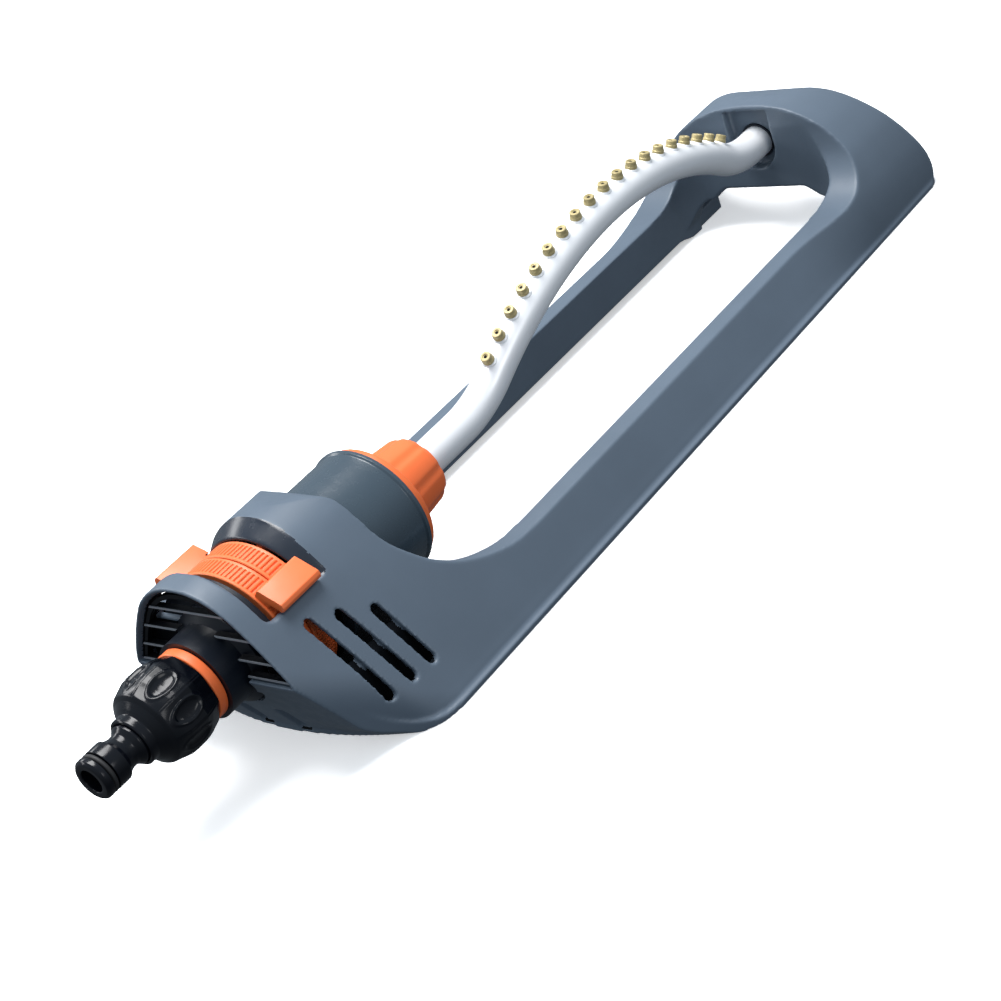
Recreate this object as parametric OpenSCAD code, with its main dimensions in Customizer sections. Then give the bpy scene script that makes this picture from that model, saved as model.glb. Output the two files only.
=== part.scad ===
// Oscillating lawn sprinkler: an open moulded frame with a hood at the hose end and an
// arch at the far end, a water motor in a drum, two range rings with finger tabs, and
// a bent spray tube with brass nozzles that rocks from side to side.
// Model frame: +X along the spray tube away from the hose, +Z up, origin under the
// middle of the outline on the surface that the sprinkler stands on. Shapes are drawn
// by station: millimetres along X counted from the tip of the hose connector.

/* [Overall] */
// Length from the connector tip to the far lip of the frame
total_length = 512; // [500:1:530]
// Half width of the frame over its bottom lips
half_width = 66.5; // [64:0.5:70]
// Height of the tube's turning axis above the ground
axis_z = 44.4; // [43:0.2:46]
// Lean of the spray tube in the stored pose, degrees towards -Y
rest_lean = 12.4; // [0:0.2:30]

/* [Frame] */
// Half width of the open ring between the rails
ring_half = 44; // [40:0.5:46]
// Height of the rails
rail_h = 23.5; // [22:0.5:26]
// Moulded wall thickness
wall = 2.4; // [2:0.1:3]
// Top of the hood
hood_top = 80; // [78:0.5:82]
// Station of the hood's front edge
hood_front = 62; // [60:0.5:64]
// Station of the inner face of the far arch
arch_s = 460; // [455:0.5:462]
// Top of the far arch
arch_top = 64.5; // [62:0.5:66]
// Width of the three vent slots in each side of the hood
slot_w = 4.4; // [3:0.1:5]

/* [Range rings] */
// Outer radius of the range rings
ring_r = 30.4; // [29.8:0.1:30.8]
// Radius of the neck that the front ring turns on
neck_r = 26.4; // [26.2:0.1:26.6]
// Number of grip ribs on each ring
ribs_n = 72; // [48:4:90]

/* [Motor] */
// Outer radius of the drum
drum_r = 27.6; // [27:0.1:28]
// Inner radius of the drum
drum_ri = 25.2; // [25:0.1:25.4]
// Radius of the fixed journal that the drum rocks on
journal_r = 16; // [15.5:0.1:16.2]
// Module of the slow gear stage
mod_a = 0.8; // [0.8]
// Module of the fast gear stages
mod_b = 0.6; // [0.6]

/* [Spray tube] */
// Outer radius of the tube
tube_r = 7.6; // [7:0.1:8]
// Wall of the tube
tube_wall = 1.1; // [0.9:0.1:1.4]
// Radius of the tube's long arc, at its centre line
arc_r = 170.5; // [170.5]
// Station of the middle of the arc
arc_s = 338.4; // [338.4]
// Height of the arc's crown over the turning axis, at its centre line
arc_top = 35.9; // [35.9]
// Radius of the two reverse bends
bend_r = 50; // [50]
// Number of nozzles
nozzles_n = 19; // [15:1:21]
// Angle between nozzles, degrees
nozzle_pitch = 3.55; // [3.2:0.05:3.55]

/* [Hose connector] */
// Radius of the quick-connect nose
nose_r = 8.4; // [8.2:0.1:8.6]
// Outer radius of the spigot's thread
thread_r = 13.2; // [13.1:0.05:13.2]
// Outer radius of the union nut
nut_r = 18; // [17.5:0.1:18.5]

/* [Hidden] */
$fn = 64;

slate = [0.36, 0.41, 0.47];
dark = [0.16, 0.18, 0.21];
black = [0.05, 0.05, 0.06];
orange = [0.95, 0.42, 0.18];
silver = [0.90, 0.91, 0.93];
brass = [0.76, 0.68, 0.42];
steel = [0.70, 0.71, 0.73];
white = [0.88, 0.88, 0.86];
rubber = [0.08, 0.08, 0.08];

// ---- helpers -------------------------------------------------------------------
// puts a shape drawn in stations into the model's frame
module at() { translate([-total_length / 2, 0, 0]) children(); }
// the same for a shape drawn round the turning axis, with its own z counted from it
module on_axis() { at() translate([0, 0, axis_z]) children(); }
// the same for pieces that lean with the tube
module leaning() { on_axis() rotate([rest_lean, 0, 0]) children(); }
// turns a profile of [station, radius] points round the axis
module turned(pts, fn = 96) { rotate([90, 0, 90]) rotate([0, 0, 90]) rotate_extrude($fn = fn) polygon([for (p = pts) [p[1], p[0]]]); }
// cylinder along X from station a to b
module rod(a, b, r, fn = 64) { translate([a, 0, 0]) rotate([0, 90, 0]) cylinder(h = b - a, r = r, $fn = fn); }
module pipe(a, b, r, ri, fn = 96) { difference() { rod(a, b, r, fn); rod(a - 1, b + 1, ri, fn); } }
// extrudes a [y, z] outline along X from a to b
module along_x(a, b) { translate([a, 0, 0]) rotate([90, 0, 90]) linear_extrude(height = b - a) children(); }
// extrudes a [station, z] outline along Y over the whole width
module across_y(w = 80) { translate([0, w, 0]) rotate([90, 0, 0]) linear_extrude(height = 2 * w) children(); }
module both_sides() { children(); mirror([0, 1, 0]) children(); }
// half outlines closed by their mirror image
function mirrored(p) = concat(p, [for (i = [len(p) - 1:-1:0]) [-p[i][0], p[i][1]]]);
function mirrored_plan(p) = concat(p, [for (i = [len(p) - 1:-1:0]) [p[i][0], -p[i][1]]]);
function scaled(p, k) = [for (q = p) [q[0] * k, q[1] * k]];
function polar(r, a) = [r * cos(a), r * sin(a)];

// ---- frame ---------------------------------------------------------------------
hw = half_width;
hf = hood_front;
sa = arch_s;
shell_k = 0.958;
// half outline of the hood, from the ground up
hood_half = [[hw, 0], [hw, 2.4], [hw - 2.3, 2.8], [62, 7], [57.5, 15.5], [51, 27.5], [44.5, 39], [38.5, 49],
  [32, 59], [25.5, 67.5], [21.5, 71.6], [16.5, 75.3], [11, hood_top - 2], [5.5, hood_top - 0.5]];
hood_side = [[hf + 19, 0], [hf + 19, 3], [hf, 41], [hf, hood_top - 2.5], [hf + 2.5, hood_top + 1], [110, hood_top + 1],
  [113, hood_top - 0.6], [121, hood_top - 2.2], [126.5, 75.8], [128.9, 73.2], [129.4, 70], [129.8, 64], [131.8, 54], [136.2, 46.4], [140.9, 40.3], [147.5, 35],
  [154, 31.2], [165, 26.6], [175, 24.3], [180, 24], [180, 0]];
hood_void_side = [[hf + 22.6, -1], [hf + 22.6, 2], [hf + 3.2, 41], [hf - 8, 41], [hf - 8, 90], [112, 90], [118, 75.4],
  [127, 73.4], [133, 72.7], [200, 72.7], [200, -1]];
hood_plan = [[60, 43], [66, 45.2], [75, 48.7], [84, 52.5], [91, 57.5], [98, 62.5], [106, 65.5], [114, hw + 0.1], [181, hw + 0.1]];
hood_void_plan = [[50, 40.6], [66, 42.7], [75, 46.1], [84, 49.8], [90, 54], [97, 59.2], [105, 62.6], [113, 63.7], [201, 63.7]];
// half outline of the far arch
arch_half = [[hw, 0], [hw, 2.4], [hw - 1.4, 3.2], [64.3, 8], [62, 18], [59.5, 26], [57, 33], [53.5, 39.6], [48, 46],
  [41, 52.6], [32, arch_top - 6.3], [22, arch_top - 2.5], [11, arch_top - 0.5]];
arch_side = [[sa - 36, 0], [sa - 36, 23], [sa - 24, 24.2], [sa - 15, 27], [sa - 8, 32.5], [sa - 3, 40], [sa, 50], [sa, 66],
  [sa + 14, 64.3], [sa + 30, 60.4], [total_length, 2.4], [total_length, 0]];
arch_void_side = [[sa - 60, -1], [sa - 60, 20.6], [sa - 24, 21.6], [sa - 13.5, 24.6], [sa - 6, 30.4], [sa - 0.5, 38.6],
  [sa + wall, 49], [sa + wall, 62], [sa + 15, 61.2], [sa + 31, 57.4], [total_length + 14, 40], [total_length + 14, -1]];
// channel section of a rail
rail_outline = [[ring_half, 3.5], [ring_half, 20.6], [ring_half + 0.7, 22.4], [ring_half + 2.4, rail_h], [54.2, 22.5],
  [57.5, 15.5], [62, 7], [hw - 2.3, 2.8], [hw, 2.4], [hw, 0], [hw - 2.6, 0], [hw - 5, 4.2], [55.3, 14.6], [52.2, 20.2],
  [ring_half + 3.4, 21], [ring_half + wall, 19.8], [ring_half + wall, 3.5]];
// position of the two screws that hold the motor housing, [y, z over the axis]
screw_y = 33;
screw_dz = -10;

// the apron's lower corners are cut back on a slant, t mm deeper for the hollow inside
module corner_cut(t = 0) both_sides() translate([84, 30, 0]) rotate([0, 52.6, -14.5]) translate([-40, -34, t - 60]) cube([80, 100, 60]);
module hood_outer() difference() {
  intersection() {
    along_x(hf, 180) polygon(mirrored(hood_half));
    across_y() polygon(hood_side);
    linear_extrude(height = 90) polygon(mirrored_plan(hood_plan));
  }
  corner_cut();
}
module hood_void() difference() {
  intersection() {
    along_x(hf - 10, 201) polygon(mirrored(concat([[hw * shell_k, -6]], scaled(hood_half, shell_k))));
    across_y() polygon(hood_void_side);
    translate([0, 0, -6]) linear_extrude(height = 96) polygon(mirrored_plan(hood_void_plan));
  }
  corner_cut(3);
}
arch_plan = [[sa - 40, hw + 0.2], [498, hw + 0.2], [504.5, 64.8], [508.8, 61.2], [511.2, 56], [total_length + 0.1, 50]];
arch_void_plan = [[sa - 80, 64.3], [497, 64.3], [502.4, 62.6], [506, 59.4], [508.2, 54.8], [509, 49], [509, 45], [530, 45]];
module arch_outer() intersection() {
  along_x(sa - 36, total_length) polygon(mirrored(arch_half));
  across_y() polygon(arch_side);
  linear_extrude(height = 90) polygon(mirrored_plan(arch_plan));
}
module arch_void() intersection() {
  along_x(sa - 70, total_length + 15) polygon(mirrored(concat([[hw * shell_k, -6]], scaled(arch_half, shell_k))));
  across_y() polygon(arch_void_side);
  translate([0, 0, -6]) linear_extrude(height = 96) polygon(mirrored_plan(arch_void_plan));
}
module slot_cut(s0, z0, s1, z1) {
  a = atan2(s1 - s0, z0 - z1);
  l = norm([s1 - s0, z1 - z0]);
  translate([s0, 0, z0]) rotate([0, -a, 0]) for (z = [0, -l]) {
    translate([0, 90, z]) rotate([90, 0, 0]) cylinder(h = 180, d = slot_w, $fn = 32);
    if (z < 0) translate([-slot_w / 2, -90, z]) cube([slot_w, 180, l]);
  }
}
module frame() color(slate) at() {
  frame_body();
  // screens inside the hood, behind the vents
  intersection() {
    hood_outer();
    both_sides() along_x(73, 136.5) polygon([[ring_half, 3.5], [ring_half + wall, 3.5], [ring_half + wall, 30.2], [ring_half, 34.2]]);
  }
}
module frame_body() difference() {
  union() {
    difference() { hood_outer(); hood_void(); }
    // coned lip of the rear bridge
    intersection() {
      translate([98.7, 0, axis_z]) rotate([0, 90, 0]) difference() {
        cylinder(h = 8.6, r1 = 31.2, r2 = 35.93, $fn = 96);
        translate([0, 0, -0.1]) cylinder(h = 8.8, r1 = 29.45, r2 = 34.2, $fn = 96);
      }
      along_x(hf, 180) polygon(mirrored(hood_half));
      translate([90, -60, 59.4]) cube([30, 120, 30]);
    }
    // inner walls that run from the rails up to the hood's rear edge
    intersection() { hood_outer(); both_sides() translate([136, ring_half, 3.5]) cube([45, wall, 60]); }
    // rails
    both_sides() along_x(172, sa + 1) polygon(rail_outline);
    // far arch, its bearing wall, corner fillets and feet
    difference() { arch_outer(); arch_void(); translate([133, -ring_half, -2]) cube([sa - 133, 2 * ring_half, 90]); }
    intersection() {
      arch_outer();
      union() {
        both_sides() translate([sa - 36, ring_half, 3.5]) cube([38, wall, 60]);
        difference() {
          translate([sa, -hw, 0]) cube([wall, 2 * hw, 66]);
          along_x(sa - 1, sa + wall + 1) polygon(mirrored([[46.4, -1], [46.4, 1], [42.5, 8], [36, 15.5], [29, 17], [23, 22.3]]));
        }
        both_sides() translate([sa - 14, ring_half - 14, 0]) difference() {
          translate([0, 0, 9]) cube([14.5, 14.5, 54]);
          cylinder(h = 70, r = 14, $fn = 48);
        }
        both_sides() translate([sa - 6, ring_half + wall, 0]) cube([30, 8, 7]);
        translate([sa, -14.4, 30]) cube([8.4, 28.8, 33.5]);
      }
    }
    // wall inside the hood that the motor housing is screwed to
    intersection() {
      hood_outer();
      union() {
        translate([70.2, -60, 6]) cube([3.2, 120, 52]);
        both_sides() translate([0, screw_y, axis_z + screw_dz]) rod(66.2, 71, 3.8, 32);
      }
    }
  }
  // mouth for the range rings, with a coned lip left standing behind it
  difference() {
    across_y(60) polygon([[hf + 10, 64], [hf + 11.2, 61.2], [hf + 14, 60], [102, 60], [104.8, 61.2], [106, 64], [106, 100], [hf + 10, 100]]);
    translate([98.7, 0, axis_z]) rotate([0, 90, 0]) cylinder(h = 8, r1 = 31.2, r2 = 35.6, $fn = 96);
  }
  // room for the range rings
  translate([0, 0, axis_z]) rod(77.8, 98.4, 30.9, 96);
  // way in for the inlet
  translate([0, 0, axis_z]) rod(hf - 8, hf + 7, 18.6, 96);
  translate([0, 0, axis_z]) rod(hf + 4.8, hf + 13, 21.2, 96);
  translate([hf - 8, -18.6, axis_z]) cube([15, 37.2, 6]);
  // vents
  slot_cut(84.3, 52, 90, 18.5);
  slot_cut(96.3, 47.5, 101.6, 18.5);
  slot_cut(108.8, 41, 112.6, 18);
  // recesses in the apron on both sides of the inlet
  both_sides() intersection() {
    across_y() polygon([[hf + 1.5, 41.5], [hf + 20.5, 3], [hf + 20.5, 0.8], [hf + 10, 0.8], [hf - 3, 41.5]]);
    translate([50, 0, 0]) rotate([90, 0, 90]) linear_extrude(height = 40) {
      polygon([[7, 1.2], [13.3, 1.2], [13.3, 15.6], [11.8, 17], [8.5, 17], [7, 15.6]]);
    }
  }
  // pocket and seat of the far bearing
  translate([0, 0, axis_z]) rod(sa - 5, sa + 6, 12, 64);
  translate([sa - 5, -12, axis_z]) cube([11, 24, 17.4]);
  translate([0, 0, axis_z]) rod(sa - 5, sa + 12, 8.5, 64);
  // pilot holes for the housing screws
  both_sides() translate([0, screw_y, axis_z + screw_dz]) rod(66, 74, 1.5, 32);
}
// louvres in the hood's front opening
module end_grille() color(slate) at() difference() {
  intersection() {
    along_x(hf + 1.6, hf + 4.6) polygon(mirrored(scaled(hood_half, shell_k - 0.012)));
    union() {
      for (z = [42.4, 49.8, 59.2, 68.7]) translate([hf, -60, z - 0.6]) cube([9, 120, 1.2]);
      difference() {
        translate([hf, -60, 41.8]) cube([9, 120, 40]);
        along_x(hf - 1, hf + 12) polygon(mirrored(scaled(hood_half, shell_k - 0.05)));
      }
    }
  }
  translate([0, 0, axis_z]) rod(hf - 8, hf + 12, 18.2, 96);
}

// ---- fixed motor housing --------------------------------------------------------
module rear_housing() color(dark) on_axis() difference() {
  union() {
    turned([[35.4, 9.4], [35.4, 12.3], [54.8, 12.3], [54.8, 17], [66.4, 17], [69, 20.6], [73.4, 20.6], [73.4, 30], [76.6, 30],
      [76.6, neck_r], [98.4, neck_r], [98.4, journal_r], [112.4, journal_r], [112.4, 14], [114.8, 14], [114.8, 11.5],
      [98, 11.5], [94, 21], [80, 23], [72, 12], [60, 9.4]]);
    // thread, as a row of ridges
    for (s = [37.4:2.4:48]) pipe(s, s + 1.2, thread_r, 12);
    // ears for the screws
    both_sides() translate([73.4, 22, screw_dz - 5]) cube([3.2, 16, 10]);
  }
  both_sides() translate([0, screw_y, screw_dz]) rod(70, 80, 1.5, 32);
  // flat under the flange
  translate([73, -40, -40]) cube([4, 80, 20.5]);
}
module housing_screws() color(steel) on_axis() both_sides() translate([0, screw_y, screw_dz]) {
  rod(67.5, 76.6, 1.5, 32);
  difference() {
    rod(76.6, 78.4, 3, 32);
    translate([77.4, -2, -0.4]) cube([2, 4, 0.8]);
    translate([77.4, -0.4, -2]) cube([2, 0.8, 4]);
  }
}
module inlet_ring() color(orange) on_axis() turned([[50.4, 12.35], [50.4, 14.8], [50.9, 15.3], [54.2, 15.3], [54.6, 14.9], [54.6, 12.35]]);
// fixed inner gear that the planet gear rolls round
module ring_gear() color(white) leaning() {
  pipe(112.8, 114.8, 21.6, 14);
  along_x(114.8, 120) difference() {
    circle(r = 21.6, $fn = 96);
    polygon(inner_gear(48, mod_a, -90));
  }
}
module inlet_filter() color(white) on_axis() difference() {
  union() {
    pipe(36, 44, 9.3, 8.3, 64);
    rod(36, 37, 8.8, 64);
  }
  for (i = [0:5]) rotate([60 * i, 0, 0]) translate([0, 0, 5]) rod(34, 39, 1.5, 16);
  rod(34, 39, 1.8, 16);
}

// ---- hose connector --------------------------------------------------------------
module hose_tail() color(black) on_axis() turned([[0, 4.8], [0, 7.4], [0.8, 8.2], [1.6, nose_r], [3.1, nose_r], [3.1, 6.5], [5.7, 6.5],
  [5.7, nose_r], [11.4, nose_r], [12.6, 7.3], [15, 6.6], [17.6, 6.7], [19.2, 8.3], [31.3, 8.3], [31.3, 12.6], [33.6, 12.6], [33.6, 4.8]]);
module tail_o_ring() color(rubber) on_axis() rotate([0, 90, 0]) translate([0, 0, 4.4]) rotate_extrude($fn = 64) translate([7.45, 0]) circle(r = 0.94, $fn = 20);
module tail_washer() color(rubber) on_axis() pipe(33.6, 35.4, 12.3, 5.4, 64);
module union_nut() color(black) on_axis() difference() {
  turned([[20.4, 8.7], [20.4, 9.5], [20.8, 9.9], [24, 9.9], [25, 11.3], [27, 13.6], [28, 15.5], [31.7, 16.9], [34, 17.8], [37, nut_r], [42, nut_r],
    [45, 17.4], [50, 15.8], [50, 13.55], [31.1, 13.55], [30.9, 8.7]]);
  // grip recesses
  for (i = [0:7]) rotate([45 * i, 0, 0]) translate([0, 0, 19.6]) {
    rod(35, 42.4, 2.6, 24);
    translate([35, 0, 0]) sphere(r = 2.6, $fn = 24);
    translate([42.4, 0, 0]) sphere(r = 2.6, $fn = 24);
  }
}

// ---- range rings -----------------------------------------------------------------
function rib_outline(n, r, d) = [for (i = [0:n - 1]) for (k = [[-0.25, d], [-0.17, 0], [0.17, 0], [0.25, d]]) polar(r - k[1], 360 * (i + k[0]) / n)];
module ring_band(a, b, ri) {
  pipe(a, a + 1.3, ring_r, ri);
  pipe(b - 1.3, b, ring_r, ri);
  along_x(a + 1.3, b - 1.3) difference() {
    polygon(rib_outline(ribs_n, ring_r - 0.07, 0.45));
    circle(r = ri, $fn = 96);
  }
}
// stop lug at a given angle from the top towards -Y
module lug(a, ri, ro) rotate([a, 0, 0]) intersection() {
  pipe(96.5, 102, ro, ri);
  along_x(96.5, 102) polygon([[0, 0], polar(40, 90 - 3), polar(40, 90 + 3)]);
}
// the front ring carries a sleeve that the rear ring turns on
module front_range_ring() color(orange) on_axis() {
  ring_band(78.2, 87.8, neck_r + 0.08);
  pipe(87, 98.3, 28, neck_r + 0.08);
  lug(95, neck_r + 0.2, 27.9);
  mirror([0, 1, 0]) difference() {
    along_x(79, 100) polygon([[20.4, 21.5], [23.5, 25.2], [33.1, 19.9], [33.6, 18.3], [33, 16.9], [31.4, 16.5], [30.2, 17.6], [26.6, 19.4], [24.6, 16.4]]);
    rod(78, 88, 29.2, 96);
    rod(87.8, 101, ring_r + 0.45, 96);
    rod(98.2, 101, 32.5, 96);
  }
}
module rear_range_ring() color(orange) on_axis() {
  ring_band(88.4, 98, 28.08);
  lug(-95, 28.2, 29.1);
  difference() {
    along_x(79, 100) polygon([[21.4, 20.4], [31.4, 24.5], [33, 23], [33.9, 19.4], [24.6, 15.2]]);
    rod(78, 101, 29.2, 96);
    rod(78, 88.4, ring_r + 0.45, 96);
    rod(98, 101, 32.5, 96);
  }
}

// ---- rocking drum ----------------------------------------------------------------
trip_r = 23.3;
// tilt of the trip lever to one of its two stops, degrees
trip_tilt = 12;
module trip_frame() { translate([0, 0, trip_r]) rotate([trip_tilt, 0, 0]) translate([0, 0, -trip_r]) children(); }
module drum_back_plate() color(dark) leaning() difference() {
  union() {
    turned([[101.6, journal_r + 0.08], [101.6, 18.2], [104.5, 18.2], [104.5, 29.4], [103.4, 29.4], [103.4, 30.2], [108.5, 30.2], [108.5, 18.4],
      [106.3, 18.4], [106.3, journal_r + 0.08]]);
  }
  translate([0, 0, trip_r]) rod(100, 112, 1.06, 32);
  for (a = [35, 145, 215, 325]) rotate([a, 0, 0]) translate([0, 0, 27.8]) { rod(104, 112, 0.8, 24); rod(104, 106, 1.4, 24); }
}
module drum_seal() color(rubber) leaning() turned([[106.3, 16.35], [106.9, journal_r + 0.06], [107.6, journal_r + 0.06], [108.5, 16.6], [108.5, 18.4], [106.3, 18.4]]);
module drum_shell() color(dark) leaning() difference() {
  turned([[108.5, drum_ri], [108.5, 30.2], [112, 30.2], [113, drum_r], [157.8, drum_r], [158.6, 28.3], [160.2, 28.3], [160.2, drum_ri]], 128);
  for (a = [35, 145, 215, 325]) rotate([a, 0, 0]) translate([0, 0, 27.8]) rod(108, 111.6, 0.8, 24);
}
module back_plate_screws() color(steel) leaning() for (a = [35, 145, 215, 325]) rotate([a, 0, 0]) translate([0, 0, 27.8]) {
  difference() { rod(104.7, 106, 1.4, 24); translate([104.2, -2, -0.25]) cube([1, 4, 0.5]); }
  rod(106, 111.4, 0.8, 24);
}
module rim_gasket() color(rubber) leaning() pipe(160.2, 160.8, 26, 25.3);
module output_flange() color(orange) leaning() {
  turned([[154.6, 22.9], [154.6, 25.1], [160.8, 25.1], [160.8, 26], [161.3, 26.5], [163.5, 26.5], [164.2, 25.8], [164.2, 12.6], [178, 12.6], [178, tube_r + 0.02],
    [161.8, tube_r + 0.02], [161.8, 22.9]]);
}
module tube_collar() color(orange) leaning() difference() {
  turned([[164.6, 12.9], [164.6, 17], [165.4, 17.6], [168, 17.3], [186.5, 15.4], [188.6, 14.6], [189.5, 13.4], [189.5, tube_r + 0.02], [181.2, tube_r + 0.02],
    [181.2, 10.4], [178.6, 10.4], [178.6, 12.9]]);
  // grip flutes
  for (i = [0:7]) rotate([45 * i + 22.5, 0, 0]) translate([0, 0, 22.6]) rod(168.6, 192, 6.6, 32);
}
module collar_o_ring() color(rubber) leaning() rotate([0, 90, 0]) translate([0, 0, 179.9]) rotate_extrude($fn = 48) translate([8.85, 0]) circle(r = 1.15, $fn = 16);

// ---- spray tube ------------------------------------------------------------------
arc_drop = arc_top - arc_r;
// half of the arc's angle, at which it meets the reverse bends
arc_half = acos((arc_r - arc_top + bend_r) / (arc_r + bend_r));
bend_off = (arc_r + bend_r) * sin(arc_half);
// the arc, the two bends and the two straight ends step down by a few hundredths of a
// millimetre where one runs into the next
module bend(r) translate([0, 0, bend_r]) rotate([90, 0, 0]) rotate([0, 0, 270]) rotate_extrude(angle = arc_half + 1.5, $fn = 96) translate([bend_r, 0]) circle(r = r, $fn = 48);
module tube_path(r, a, b) {
  rod(a, arc_s - bend_off + 0.8, r - 0.06, 48);
  translate([arc_s - bend_off, 0, 0]) bend(r - 0.03);
  translate([arc_s, 0, arc_drop]) rotate([90, 0, 0]) rotate([0, 0, 90 - arc_half]) rotate_extrude(angle = 2 * arc_half, $fn = 180) translate([arc_r, 0]) circle(r = r, $fn = 48);
  translate([arc_s + bend_off, 0, 0]) mirror([1, 0, 0]) bend(r - 0.03);
  rod(arc_s + bend_off - 0.8, b, r - 0.06, 48);
}
// places a piece on the crown of the tube at nozzle k, with z counted from the tube's centre line
module at_nozzle(k) translate([arc_s, 0, arc_drop]) rotate([0, (k - (nozzles_n - 1) / 2) * nozzle_pitch, 0]) translate([0, 0, arc_r]) children();
module spray_tube() color(silver) leaning() difference() {
  tube_path(tube_r, 166, 486);
  tube_path(tube_r - tube_wall, 165, 487);
  for (k = [0:nozzles_n - 1]) at_nozzle(k) translate([0, 0, 3]) cylinder(h = 8, r = 1.7, $fn = 20);
}
module spray_nozzles() color(brass) leaning() for (k = [0:nozzles_n - 1]) at_nozzle(k) translate([0, 0, tube_r]) rotate_extrude($fn = 24)
  polygon([[0.45, -2.2], [1.68, -2.2], [1.68, 0], [2.7, 0], [2.7, 1.3], [2.45, 1.6], [2.45, 3.3], [2.1, 3.6], [0.45, 3.6]]);
module far_bush() color(white) on_axis() {
  turned([[465.6, tube_r + 0.02], [465.6, 8.5], [468.4, 8.5], [468.4, 10.5], [470.4, 10.5], [470.4, tube_r + 0.02]], 64);
}
module end_plug() color(orange) leaning() {
  rod(478, 487, 6.36, 48);
  along_x(487.2, 495.5) polygon([for (i = [0:15]) for (k = [[-0.3, 0], [0.3, 0], [0.42, 0.7], [0.58, 0.7]]) polar(8.6 - k[1], 360 * (i + k[0]) / 16)]);
  rod(487, 487.3, 6.36, 48);
  rod(495.5, 496.3, 7.2, 48);
}
module plug_o_ring() color(rubber) leaning() pipe(486.02, 487.2, 7.5, 6.5, 48);

// ---- water motor -----------------------------------------------------------------
// tooth outlines: straight flanks, with the play between teeth that water-run plastic gears have
function outer_gear(n, m, ph) = [for (i = [0:n - 1]) for (k = [[m * (n / 2 - 1.15), -0.27], [m * n / 2, -0.19], [m * (n / 2 + 0.8), -0.08],
  [m * (n / 2 + 0.8), 0.08], [m * n / 2, 0.19], [m * (n / 2 - 1.15), 0.27]]) polar(k[0], ph + 360 * (i + k[1]) / n)];
function inner_gear(n, m, ph) = [for (i = [0:n - 1]) for (k = [[m * (n / 2 - 0.8), -0.42], [m * n / 2, -0.31], [m * (n / 2 + 1.15), -0.23],
  [m * (n / 2 + 1.15), 0.23], [m * n / 2, 0.31], [m * (n / 2 - 0.8), 0.42]]) polar(k[0], ph + 360 * (i + k[1]) / n)];
planet_c = [0, -14.4];
middle_c = [9.6, -7.2];
planet_dir = atan2(7.2, 9.6);
middle_dir = atan2(7.2, -9.6);
module gear_disc(a, b, c, pts, bore) translate([0, c[0], c[1]]) along_x(a, b) difference() { polygon(pts); circle(r = bore, $fn = 32); }
module planet_gear() color(white) leaning() {
  gear_disc(115.4, 119.6, planet_c, outer_gear(12, mod_a, -90), 1.26);
  translate([0, planet_c[0], planet_c[1]]) pipe(119.6, 120.6, 3, 1.26, 32);
  gear_disc(120.6, 123.2, planet_c, outer_gear(30, mod_b, planet_dir), 1.26);
  translate([0, planet_c[0], planet_c[1]]) pipe(123.2, 126.8, 1.9, 1.26, 32);
}
module middle_gear() color(white) leaning() {
  gear_disc(120.4, 123.5, middle_c, outer_gear(10, mod_b, planet_dir + 180 + 18), 1.26);
  gear_disc(123.5, 126.3, middle_c, outer_gear(30, mod_b, middle_dir), 1.26);
}
module turbine_pinion() color(white) leaning() gear_disc(123.8, 126.4, [0, 0], outer_gear(10, mod_b, middle_dir + 180 + 18), 1.5);
module turbine_shaft() color(steel) leaning() rod(123, 149.4, 1.5, 32);
module turbine_wheel() color(orange) leaning() {
  pipe(132, 140, 4.5, 1.5, 32);
  pipe(132, 140, 22.2, 20.8, 64);
  for (i = [0:9]) rotate([36 * i, 0, 0]) translate([136, 0, 0]) rotate([0, 0, 0]) intersection() {
    rotate([0, 0, 28]) translate([-5, -0.6, 4]) cube([10, 1.2, 17.2]);
    translate([-4, -8, 4]) cube([8, 16, 17.2]);
  }
}
module jet_plate() color(white) leaning() difference() {
  rod(127, 129.8, drum_ri - 0.04, 96);
  rod(126, 131, 1.56, 32);
  translate([0, planet_c[0], planet_c[1]]) rod(126, 131, 1.2, 32);
  translate([0, middle_c[0], middle_c[1]]) rod(126, 131, 1.2, 32);
  translate([0, 0, trip_r]) rod(126, 131, 1.06, 32);
  both_sides() rotate([7.4, 0, 0]) translate([0, 0, 17.2]) rod(126, 131, 1.4, 24);
}
module gear_pins() color(steel) leaning() for (c = [[planet_c, 114.95], [middle_c, 119.2]]) translate([0, c[0][0], c[0][1]]) rod(c[1], 129.8, 1.2, 32);
module bearing_spider() color(white) leaning() {
  pipe(146, 149, 4, 1.56, 32);
  pipe(146, 149, drum_ri, 23.4, 64);
  for (i = [0:2]) rotate([120 * i, 0, 0]) translate([146.5, -1.4, 3.6]) cube([2, 2.8, 20]);
}
module trip_lever() color(orange) leaning() trip_frame() difference() {
  union() {
    translate([0, 0, trip_r]) rod(99.6, 102.8, 2.4, 32);
    translate([99.6, -1.3, trip_r]) cube([2.4, 2.6, 5.7]);
  }
  translate([0, 0, trip_r]) rod(99, 104, 1, 32);
}
module trip_shaft() color(steel) leaning() translate([0, 0, trip_r]) rod(99.3, 129.4, 1, 32);
module reversing_flap() color(white) leaning() trip_frame() difference() {
  union() {
    translate([0, 0, trip_r]) rod(123.6, 126.4, 1.6, 32);
    along_x(125, 126.4) polygon([[-1.4, trip_r], [-2, 15.2], [2, 15.2], [1.4, trip_r]]);
  }
  translate([0, 0, trip_r]) rod(123, 127, 1, 32);
}

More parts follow.
